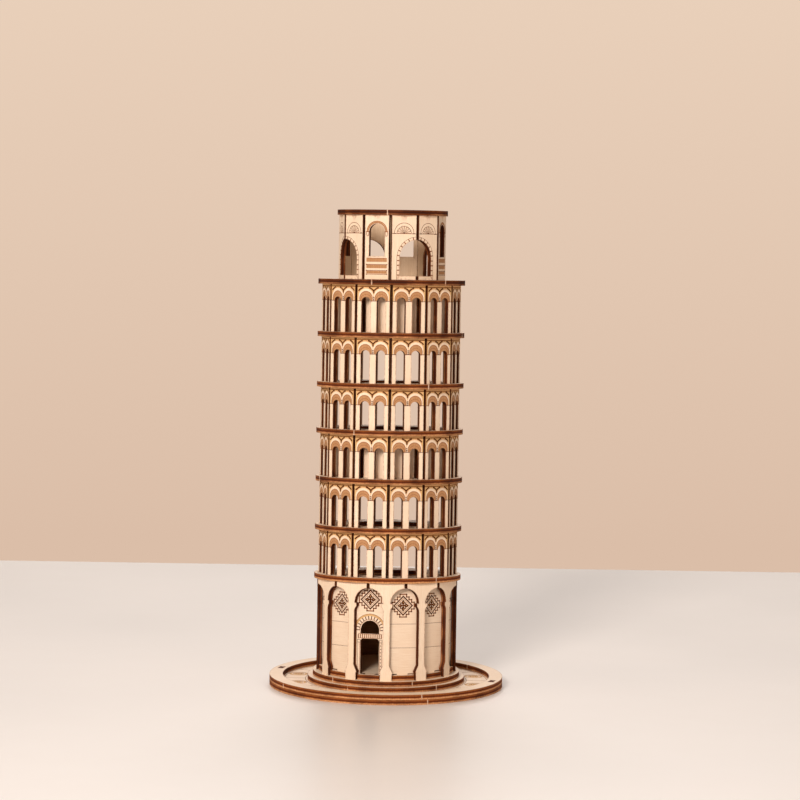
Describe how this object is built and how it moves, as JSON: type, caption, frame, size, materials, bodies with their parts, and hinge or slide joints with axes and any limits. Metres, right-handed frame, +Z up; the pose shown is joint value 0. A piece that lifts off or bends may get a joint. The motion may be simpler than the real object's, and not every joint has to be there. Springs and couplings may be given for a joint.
{
  "type": "miniature landmark model",
  "caption": "Leaning round bell tower of laser-cut plywood plates: arcaded ground storey, ring decks with double-arch loggias, open belfry and a round stepped base.",
  "frame": {"origin": "bottom centre of the round base", "axes": "+Z up, -Y towards the front (the door side), +X to the right seen from the front; the tower leans towards +Y"},
  "size_m": [0.105, 0.105, 0.2149],
  "materials": {
    "base_ply": "satin",
    "ring_ply": "satin",
    "peg_ply": "satin",
    "plinth_ply": "satin",
    "pillar_ply": "satin",
    "wall_ply": "satin",
    "deck_ply": "satin",
    "core_ply": "satin",
    "loggia_ply": "satin",
    "belfry_ply": "satin"
  },
  "bodies": {
    "root": {"base_plate": "base_ply", "base_ring": "ring_ply", "base_lock_pegs": "peg_ply", "plinth_lower_disc": "plinth_ply", "plinth_upper_disc": "plinth_ply", "sill_plate": "plinth_ply", "ground_pillar_1": "pillar_ply", "ground_pillar_2": "pillar_ply", "ground_pillar_3": "pillar_ply", "ground_pillar_4": "pillar_ply", "ground_pillar_5": "pillar_ply", "ground_pillar_6": "pillar_ply", "ground_pillar_7": "pillar_ply", "ground_pillar_8": "pillar_ply", "ground_pillar_9": "pillar_ply", "ground_pillar_10": "pillar_ply", "ground_pillar_11": "pillar_ply", "ground_pillar_12": "pillar_ply", "door_panel": "wall_ply", "ground_wall_1": "wall_ply", "ground_wall_2": "wall_ply", "ground_wall_3": "wall_ply", "ground_wall_4": "wall_ply", "ground_wall_5": "wall_ply", "ground_wall_6": "wall_ply", "ground_wall_7": "wall_ply", "ground_wall_8": "wall_ply", "ground_wall_9": "wall_ply", "ground_wall_10": "wall_ply", "ground_wall_11": "wall_ply", "deck_1": "deck_ply", "deck_2": "deck_ply", "deck_3": "deck_ply", "deck_4": "deck_ply", "deck_5": "deck_ply", "deck_6": "deck_ply", "deck_7": "deck_ply", "loggia_1_panels": "loggia_ply", "loggia_2_panels": "loggia_ply", "loggia_3_panels": "loggia_ply", "loggia_4_panels": "loggia_ply", "loggia_5_panels": "loggia_ply", "loggia_6_panels": "loggia_ply", "loggia_3_core_panels": "core_ply", "loggia_6_core_panels": "core_ply", "belfry_window_panels": "belfry_ply", "belfry_arch_left_panels": "belfry_ply", "belfry_arch_right_panels": "belfry_ply", "top_ring": "deck_ply"}
  },
  "joints": []
}
